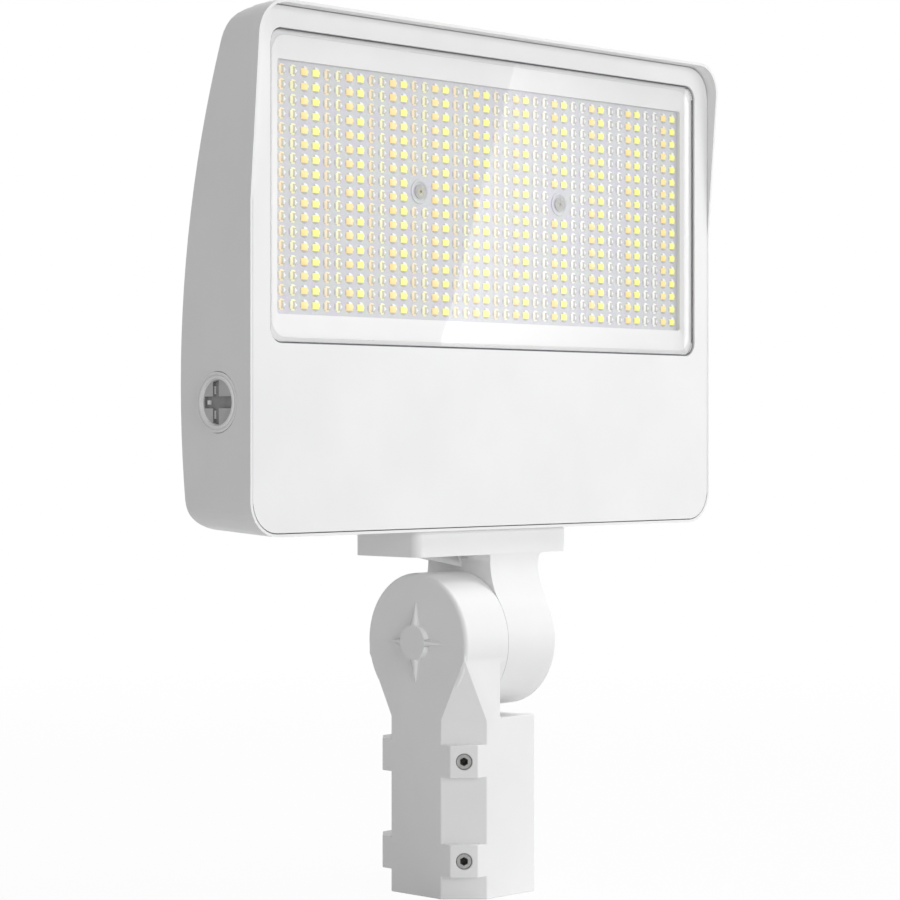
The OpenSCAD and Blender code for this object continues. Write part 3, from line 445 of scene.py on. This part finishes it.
bm = bmesh.new()
slab(bm, lampField["plateWidth"], lampField["plateHeight"], lampField["plateFront"], lampField["plateBack"],
     lampField["plateCorner"], 0.0, lampField["centreZ"])
templates = [domeTemplate(pattern) for pattern in cellPatterns]
for column, x, z in lampPlaces():
    place = Matrix.Translation((x, lampField["plateFront"] * mm, z))
    template = templates[column % 4]
    template.transform(place)
    bm.from_mesh(template)
    template.transform(place.inverted())
for side in (-1, 1):  # a moulded collar round each board screw, and the screw's cross head in it
    before = set(bm.verts)
    headRadius, headHeight = lampField["screwHead"][0][0] * mm, lampField["screwHead"][-1][1] * mm
    for profile in (lampField["collar"], lampField["screwHead"]):
        verts = [bm.verts.new((radius * mm, -height * mm, 0)) for radius, height in profile]
        edges = [bm.edges.new(pair) for pair in zip(verts, verts[1:])]
        bmesh.ops.spin(bm, geom=verts + edges, cent=(0, 0, 0), axis=(0, 1, 0), dvec=(0, 0, 0),
                       angle=radians(360), steps=lampField["ringSteps"], use_merge=True)
    fresh = [v for v in bm.verts if v not in before]
    for face in {f for v in fresh for f in v.link_faces}:
        inHead = all(Vector((v.co.x, v.co.z)).length < headRadius + level for v in face.verts)
        face.material_index = steel if inHead else 0
    for turned in lampField["recessTurns"]:  # painted shade: two dark slots stand in for the shaded cross recess of the head
        slot = bmesh.ops.create_cube(bm, size=mm)["verts"]
        bmesh.ops.transform(bm, verts=slot, matrix=Matrix.Translation((0, -headHeight, 0)) @ Matrix.Rotation(
            radians(turned), 4, "Y") @ Matrix.Diagonal((*lampField["recess"], 1)))
        for face in {f for v in slot for f in v.link_faces}:
            face.material_index = shade
    fresh = [v for v in bm.verts if v not in before]
    bmesh.ops.translate(bm, verts=fresh, vec=(side * lampField["screwX"] * mm, lampField["plateFront"] * mm,
                                              (lampField["centreZ"] + lampField["screwRise"]) * mm))
bmesh.ops.recalc_face_normals(bm, faces=[f for f in bm.faces if f.material_index in (0, shade, steel)])
finishPiece("opticPlate", bm, domeFinishes, "head", ["optic_plate"], smooth=50)
for template in templates:
    bpy.data.meshes.remove(template)
print("lamp field ready")

plug = {"centreY": -2.0, "centreZ": 292.8, "face": -199.1, "steps": 48,
        "crossHalf": (2.5, 3.3), "crossDepth": 1.5, "crossY": 2.4,  # half widths of its arms, and its place
        # depth and radius of the painted shade in the cup, and how far the bars sink
        "cupShadeDepth": 1.5, "cupShadeRadius": 13.1, "barSink": 0.4,
        # radius and depth of each ring, from the flange's back to the floor of the cup
        "rings": [(16.9, 2.5), (16.9, 0.9), (16.6, 0.6), (15.6, 0.6), (15.4, 1.1), (15.0, 1.1), (14.8, 0.5),
                  (14.5, 0.05), (14.2, 0.0), (13.6, 0.0), (13.2, 0.2), (13.0, 0.7), (12.7, 1.9), (12.2, 2.3)],
        # light bars in the cross: Y and Z from the plug's axis, width and height; the square one is a small
        # boss, the two thin ones are painted highlights on the cross's wall
        "bars": [(9.0, 0.0, 2.4, 2.4), (4.0, 6.8, 0.5, 4.6), (4.0, -6.8, 0.5, 4.6)]}
bm = bmesh.new()
verts = [bm.verts.new((depth * mm, radius * mm, 0)) for radius, depth in plug["rings"]]
edges = [bm.edges.new(pair) for pair in zip(verts, verts[1:])]
bmesh.ops.spin(bm, geom=verts + edges, cent=(0, 0, 0), axis=(1, 0, 0), dvec=(0, 0, 0), angle=radians(360),
               steps=plug["steps"], use_merge=True)
floorDepth = plug["rings"][-1][1] * mm
rim = [e for e in bm.edges if e.is_boundary and all(abs(v.co.x - floorDepth) < level for v in e.verts)]
bmesh.ops.contextual_create(bm, geom=rim)
crossArms = ((0, 1, 0), plug["crossHalf"][0], plug["crossY"]), ((0, 0, 1), plug["crossHalf"][1], 0)
for axis, half, offset in crossArms:
    for side in (-1, 1):
        onFloor = [f for f in bm.faces if all(abs(v.co.x - floorDepth) < level for v in f.verts)]
        around = onFloor + list({e for f in onFloor for e in f.edges})
        around += list({v for f in onFloor for v in f.verts})
        bmesh.ops.bisect_plane(bm, geom=around, plane_no=axis,
                               plane_co=Vector(axis) * (offset + side * half) * mm)
onFloor = [f for f in bm.faces if all(abs(v.co.x - floorDepth) < level for v in f.verts)]
cross = [f for f in onFloor if abs(f.calc_center_median().y - plug["crossY"] * mm) < plug["crossHalf"][0] * mm
         or abs(f.calc_center_median().z) < plug["crossHalf"][1] * mm]
sunk = bmesh.ops.extrude_face_region(bm, geom=cross)
sunkVerts = [v for v in sunk["geom"] if isinstance(v, bmesh.types.BMVert)]
bmesh.ops.translate(bm, verts=sunkVerts, vec=(plug["crossDepth"] * mm, 0, 0))
bmesh.ops.delete(bm, geom=[f for f in cross if f.is_valid], context="FACES_ONLY")
barFaces = set()
for barY, barZ, wide, tall in plug["bars"]:
    bar = bmesh.ops.create_cube(bm, size=mm)["verts"]
    barPlace = (floorDepth + (plug["crossDepth"] - plug["barSink"]) * mm, barY * mm, barZ * mm)
    bmesh.ops.transform(bm, verts=bar,
                        matrix=Matrix.Translation(barPlace) @ Matrix.Diagonal((1, wide, tall, 1)))
    barFaces.update(f for v in bar for f in v.link_faces)
# the cup's faces take the painted shade, the cross the deeper painted shade, the bars the white coat
for face in bm.faces:
    depth = face.calc_center_median().x
    if face in barFaces:
        face.material_index = 0
    elif depth > floorDepth + level:
        face.material_index = 2
    elif depth > plug["cupShadeDepth"] * mm and face.calc_center_median().yz.length < plug["cupShadeRadius"] * mm:
        face.material_index = 1
bmesh.ops.translate(bm, verts=bm.verts, vec=(plug["face"] * mm, plug["centreY"] * mm, plug["centreZ"] * mm))
if sum(f.normal.x * f.calc_area() for f in bm.faces) > 0:
    bmesh.ops.reverse_faces(bm, faces=bm.faces)
finishPiece("plugMoulding", bm, ["satinPowderCoat", "plugCupShade", "plugCrossDeepShade"], "head",
            ["side_plug"], smooth=40)
print("plug ready")

setScrews = {"socketRadius": 2.65, "lean": 0.7071,  # X and Y of the screws' axis, which lies at 45 degrees
             # name of each screw's piece, and the side of Y on which it sits
             "places": {"set_screw_front_upper": ("frontUpperSetScrew", -1),
                        "set_screw_front_lower": ("frontLowerSetScrew", -1),
                        "set_screw_rear_upper": ("rearUpperSetScrew", 1),
                        "set_screw_rear_lower": ("rearLowerSetScrew", 1)}}
for node, (name, side) in setScrews["places"].items():
    # the CAD screw with painted shade on the faces of its hexagon socket
    bm = bmesh.new()
    bm.from_mesh(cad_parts[node].data)
    bmesh.ops.remove_doubles(bm, verts=bm.verts, dist=weld)
    low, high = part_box(node)
    along = Vector((-setScrews["lean"], side * setScrews["lean"], 0))
    for face in bm.faces:
        arm = face.calc_center_median() - Vector((0, 0, (low[2] + high[2]) / 2))
        face.material_index = int((arm - along * arm.dot(along)).length < setScrews["socketRadius"] * mm)
    finishPiece(name, bm, ["darkerScrewSteel", "paintedSocketShade"], node, [node], smooth=40)
print("set screws ready")

# the CAD nodes whose shape is right keep it and take their own finish
keptNodes = {
    "greySiliconeRubber": ["cover_seal", "lens_seal", "plug_seal", "arm_seal"],
    "turnedStainlessSteel": ["cover_screws", "arm_screws", "knuckle_bolt", "spring_washer", "flat_washer"],
    "zincPlatedSteel": ["board_screws", "driver_screws"],
    "whiteSolderMask": ["led_board"],
    "ivoryNylon": ["board_connector", "terminal_block", "selector_switch"],
    "blackAcetal": ["selector_slider"],
    "brushedAluminium": ["driver", "driver_caps"],
    "slateMouldedAbs": ["surge_protector"],
    "redSiliconeLead": ["led_leads"],
}
for finish, nodes in keptNodes.items():
    for node in nodes:
        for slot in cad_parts[node].material_slots:
            slot.material = materials[finish]
print("kept CAD nodes finished")

# lengths in metres, but the floor's grain in mm: near the object the floor is a little short of white and
# shows its shadow, and further off it turns to the backdrop's white
studio = {"floorHalf": 9.0, "world": 0.40, "backdrop": 1.0,
          "floorShow": 0.96, "floorFade": (0.7, 1.6), "floorTones": ("#DCDCDC", "#E0E0E0"), "floorGrain": 200,
          "lampsAim": (0, 0, 0.35),
          "lamps": {"leftSoftbox": {"place": (-0.8, -4.4, 1.3), "size": 2.0, "power": 55},
                    "rightSoftbox": {"place": (3.2, -3.4, 1.0), "size": 2.2, "power": 40},
                    "highSoftbox": {"place": (2.1, -0.9, 2.95), "size": 1.5, "power": 57}}}

floorMaterial, floorTree, floorPlace = startMaterial("paleStudioFloor")
floorDark, floorPale = (hexColour(tone) for tone in studio["floorTones"])
floorTone = addNode(floorTree, "ShaderNodeMix", {"data_type": "RGBA", 6: floorDark, 7: floorPale},
                    {0: mottle(floorTree, floorPlace, studio["floorGrain"], 0, 1)})
floorDiffuse = addNode(floorTree, "ShaderNodeBsdfDiffuse", {}, {"Color": floorTone.outputs[2]})
floorWhite = addNode(floorTree, "ShaderNodeEmission", {"Strength": studio["backdrop"]})
floorRay = addNode(floorTree, "ShaderNodeLightPath")
seen = addNode(floorTree, "ShaderNodeMath", {"operation": "MAXIMUM"},
               {0: floorRay.outputs["Is Camera Ray"], 1: floorRay.outputs["Is Transmission Ray"]})
seenOrShone = addNode(floorTree, "ShaderNodeMath", {"operation": "MAXIMUM"},
                      {0: seen.outputs[0], 1: floorRay.outputs["Is Glossy Ray"]})
distance = addNode(floorTree, "ShaderNodeVectorMath", {"operation": "LENGTH"}, {0: floorPlace})
show = addNode(floorTree, "ShaderNodeMapRange",
               {"From Min": studio["floorFade"][0], "From Max": studio["floorFade"][1],
                "To Min": studio["floorShow"], "To Max": 1.0}, {"Value": distance.outputs["Value"]})
whiteShare = addNode(floorTree, "ShaderNodeMath", {"operation": "MULTIPLY"},
                     {0: seenOrShone.outputs[0], 1: show.outputs["Result"]})
floorMix = addNode(floorTree, "ShaderNodeMixShader", {},
                   {0: whiteShare.outputs[0], 1: floorDiffuse.outputs[0], 2: floorWhite.outputs[0]})
addNode(floorTree, "ShaderNodeOutputMaterial", {}, {"Surface": floorMix.outputs[0]})

bm = bmesh.new()
bmesh.ops.create_grid(bm, x_segments=2, y_segments=2, size=studio["floorHalf"])
floorMesh = bpy.data.meshes.new("studioFloor")
bm.to_mesh(floorMesh)
bm.free()
floorMesh.materials.append(floorMaterial)
floor = bpy.data.objects.new("studioFloor", floorMesh)
bpy.context.scene.collection.objects.link(floor)

world = bpy.data.worlds.new("softStudio")
bpy.context.scene.world = world
world.use_nodes = True
worldTree = world.node_tree
worldTree.nodes.clear()
worldRay = addNode(worldTree, "ShaderNodeLightPath")
seenWorld = addNode(worldTree, "ShaderNodeMath", {"operation": "MAXIMUM"},
                    {0: worldRay.outputs["Is Camera Ray"], 1: worldRay.outputs["Is Transmission Ray"]})
shoneWorld = addNode(worldTree, "ShaderNodeMath", {"operation": "MAXIMUM"},
                     {0: seenWorld.outputs[0], 1: worldRay.outputs["Is Glossy Ray"]})
strength = addNode(worldTree, "ShaderNodeMapRange", {"To Min": studio["world"], "To Max": studio["backdrop"]},
                   {"Value": shoneWorld.outputs[0]})
background = addNode(worldTree, "ShaderNodeBackground", {"Color": hexColour("#FFFFFF")},
                     {"Strength": strength.outputs["Result"]})
addNode(worldTree, "ShaderNodeOutputWorld", {}, {"Surface": background.outputs[0]})

for name, lamp in studio["lamps"].items():
    lampData = bpy.data.lights.new(name, "AREA")
    lampData.shape = "SQUARE"
    lampData.size = lamp["size"]
    lampData.energy = lamp["power"]
    softbox = bpy.data.objects.new(name, lampData)
    softbox.location = lamp["place"]
    towards = Vector(studio["lampsAim"]) - softbox.location
    softbox.rotation_euler = towards.to_track_quat("-Z", "Y").to_euler()
    softbox.visible_glossy = False
    softbox.visible_transmission = False
    bpy.context.scene.collection.objects.link(softbox)

# a bright card to the right, seen only in reflections: the glass shows its slanting left edge, its light
# fades along X, and the brighter strip at its end is reflected over the trim's right side
card = {"y": -1.6, "corners": [(1.528, 0.33), (1.746, 0.91), (2.6, 0.91), (2.6, 0.33)],  # X and Z, in metres
        "bright": 2.55, "faint": 0.6, "fade": (1.55, 2.0), "strip": 3.4, "stripFrom": 2.1}
cardMaterial, cardTree, cardPlace = startMaterial("reflectorCard")
split = addNode(cardTree, "ShaderNodeSeparateXYZ", {}, {"Vector": cardPlace})
fade = addNode(cardTree, "ShaderNodeMapRange",
               {"From Min": card["fade"][0], "From Max": card["fade"][1],
                "To Min": card["bright"], "To Max": card["faint"]}, {"Value": split.outputs["X"]})
inStrip = addNode(cardTree, "ShaderNodeMath", {"operation": "GREATER_THAN", 1: card["stripFrom"]},
                  {0: split.outputs["X"]})
bright = addNode(cardTree, "ShaderNodeMapRange", {"To Max": card["strip"]},
                 {"Value": inStrip.outputs[0], "To Min": fade.outputs["Result"]})
cardLight = addNode(cardTree, "ShaderNodeEmission", {}, {"Strength": bright.outputs["Result"]})
addNode(cardTree, "ShaderNodeOutputMaterial", {}, {"Surface": cardLight.outputs[0]})
cardMaterial.cycles.emission_sampling = "NONE"
bm = bmesh.new()
bm.faces.new([bm.verts.new((x, card["y"], z)) for x, z in card["corners"]])
cardMesh = bpy.data.meshes.new("reflectorCard")
bm.to_mesh(cardMesh)
bm.free()
cardMesh.materials.append(cardMaterial)
reflector = bpy.data.objects.new("reflectorCard", cardMesh)
reflector.visible_camera = False
reflector.visible_diffuse = False
reflector.visible_shadow = False
bpy.context.scene.collection.objects.link(reflector)

# the photograph's camera: place and far limit in metres, turn in degrees, rise as a share of the picture
viewpoint = {"place": (-1.1803, -1.1372, 0.2758), "turn": -45.8, "lens": 108.0, "sensor": 36.0,
             "rise": -17 / 900, "farLimit": 60.0}
cameraData = bpy.data.cameras.new("photoCamera")
cameraData.lens = viewpoint["lens"]
cameraData.sensor_width = viewpoint["sensor"]
cameraData.shift_y = viewpoint["rise"]
cameraData.clip_end = viewpoint["farLimit"]
camera = bpy.data.objects.new("photoCamera", cameraData)
camera.location = viewpoint["place"]
camera.rotation_euler = (radians(90), 0, radians(viewpoint["turn"]))
bpy.context.scene.collection.objects.link(camera)
bpy.context.scene.camera = camera
bpy.context.scene.view_settings.view_transform = "Standard"
print("studio ready")
